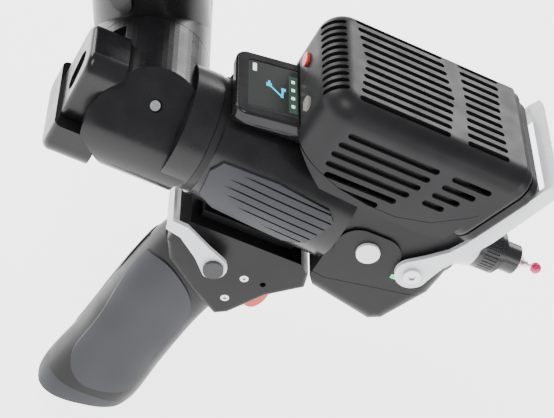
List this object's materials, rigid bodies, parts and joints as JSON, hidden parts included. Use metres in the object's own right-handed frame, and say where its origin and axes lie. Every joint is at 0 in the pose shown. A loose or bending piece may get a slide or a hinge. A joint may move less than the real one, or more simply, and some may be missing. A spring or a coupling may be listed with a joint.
{
  "type": "arm-mounted handheld scanner",
  "caption": "Measuring arm wrist with a vented line scanner, pistol grip with trigger, tilted display and ball-tipped touch probe.",
  "frame": {"origin": "centre of the arm flange's outer face, on the arm's axis", "axes": "+X along the roll axis towards the probe tip, +Z from the grip up to the scanner, +Y away from the side with the flat knuckle cover"},
  "size_m": [0.2836, 0.1396, 0.2635],
  "materials": {
    "arm_paint": "satin black coat",
    "gloss_black": "soft gloss",
    "satin_black": "fine satin grain",
    "grip_rubber": "matt",
    "screen": "lit display",
    "window": "dark window",
    "white_lever": "silver-white satin",
    "steel": "machined",
    "probe_black": "black anodised",
    "ruby": "polished synthetic ruby",
    "red_plastic": "gloss",
    "white_plastic": "satin",
    "amber": "frosted",
    "green_light": "frosted",
    "aluminium": "machined",
    "board": "circuit board"
  },
  "bodies": {
    "arm": {"arm_tube": "arm_paint", "arm_bearing": "steel"},
    "knuckle": {"knuckle_body": "arm_paint", "knuckle_plug": "gloss_black", "knuckle_end_cap": "arm_paint", "bend_bearing": "steel"},
    "roll_block": {"roll_housing": "arm_paint", "bend_shaft": "steel", "knuckle_cover": "gloss_black", "cover_screws": "steel", "rear_cover": "gloss_black", "rear_bumper": "gloss_black", "roll_bearings": "steel"},
    "wrist": {"wrist_core": "satin_black", "wrist_shell": "gloss_black", "side_grip_pads": "grip_rubber", "display_glass": "screen", "display_bezel": "gloss_black", "display_board": "board", "display_gasket": "grip_rubber", "display_neck": "gloss_black", "nose_upper": "satin_black", "nose_lower": "satin_black", "button_pads": "satin_black", "status_lights": "green_light", "scanner_cover": "satin_black", "scanner_base": "satin_black", "laser_light": "red_plastic", "power_light": "amber", "front_collar": "satin_black", "front_gasket": "grip_rubber", "front_bezel": "satin_black", "front_windows": "window", "front_bumper": "satin_black", "laser_module": "aluminium", "camera_module": "aluminium", "heat_sink": "aluminium", "cooling_fan": "satin_black", "latch_pivots": "steel", "probe_hub": "white_lever", "probe_body": "probe_black", "probe_nose": "steel", "stylus_stem": "steel", "stylus_ball": "ruby", "palm_pads": "grip_rubber", "grip_shell_near": "satin_black", "grip_shell_far": "satin_black", "grip_end_cap": "grip_rubber", "trigger_housing": "satin_black", "housing_screws": "steel", "handle_mount": "satin_black", "trigger_pin": "steel", "handle_pivots": "probe_black"},
    "lock_ring": {"probe_lock_ring": "probe_black"},
    "scanner_bail": {"scanner_latch": "white_lever"},
    "handle_bail": {"handle_latch": "white_lever"},
    "trigger_lever": {"trigger": "red_plastic"},
    "mode_key": {"mode_button": "probe_black"},
    "near_key": {"side_button_near": "white_plastic"},
    "far_key": {"side_button_far": "white_plastic"}
  },
  "joints": [
    {"name": "forearm_roll", "type": "hinge", "parent": "arm", "child": "knuckle", "pos_m": [0.03306, 0, -0.06396], "axis": [-0.4591, 0, 0.8884], "continuous": true},
    {"name": "wrist_bend", "type": "hinge", "parent": "knuckle", "child": "roll_block", "pos_m": [0.03306, -0.03, -0.06396], "axis": [0, 1, 0], "range_deg": [-25, 80]},
    {"name": "wrist_roll", "type": "hinge", "parent": "roll_block", "child": "wrist", "pos_m": [0.06106, -0.066, -0.06396], "axis": [1, 0, 0], "range_deg": [-90, 90]},
    {"name": "probe_lock_turn", "type": "hinge", "parent": "wrist", "child": "lock_ring", "pos_m": [0.22306, -0.066, -0.06396], "axis": [1, 0, 0], "range_deg": [0, 30]},
    {"name": "scanner_latch_turn", "type": "hinge", "parent": "wrist", "child": "scanner_bail", "pos_m": [0.18206, -0.066, -0.07196], "axis": [0, 1, 0], "range_deg": [0, 40]},
    {"name": "handle_latch_turn", "type": "hinge", "parent": "wrist", "child": "handle_bail", "pos_m": [0.09606, -0.066, -0.11796], "axis": [0, 1, 0], "range_deg": [-40, 0]},
    {"name": "trigger_pull", "type": "hinge", "parent": "wrist", "child": "trigger_lever", "pos_m": [0.12606, -0.066, -0.12296], "axis": [0, 1, 0], "range_deg": [0, 12], "stiffness_Nm_per_rad": 0.25, "springref_deg": -11.46},
    {"name": "mode_press", "type": "slide", "parent": "wrist", "child": "mode_key", "axis": [0.8762, 0, -0.4819], "range_m": [-0.0015, 0], "stiffness_N_per_m": 900, "springref_m": 0.001},
    {"name": "near_button_press", "type": "slide", "parent": "wrist", "child": "near_key", "axis": [0, 1, 0], "range_m": [0, 0.0012], "stiffness_N_per_m": 900, "springref_m": -0.001},
    {"name": "far_button_press", "type": "slide", "parent": "wrist", "child": "far_key", "axis": [0, -1, 0], "range_m": [0, 0.0012], "stiffness_N_per_m": 900, "springref_m": -0.001}
  ]
}
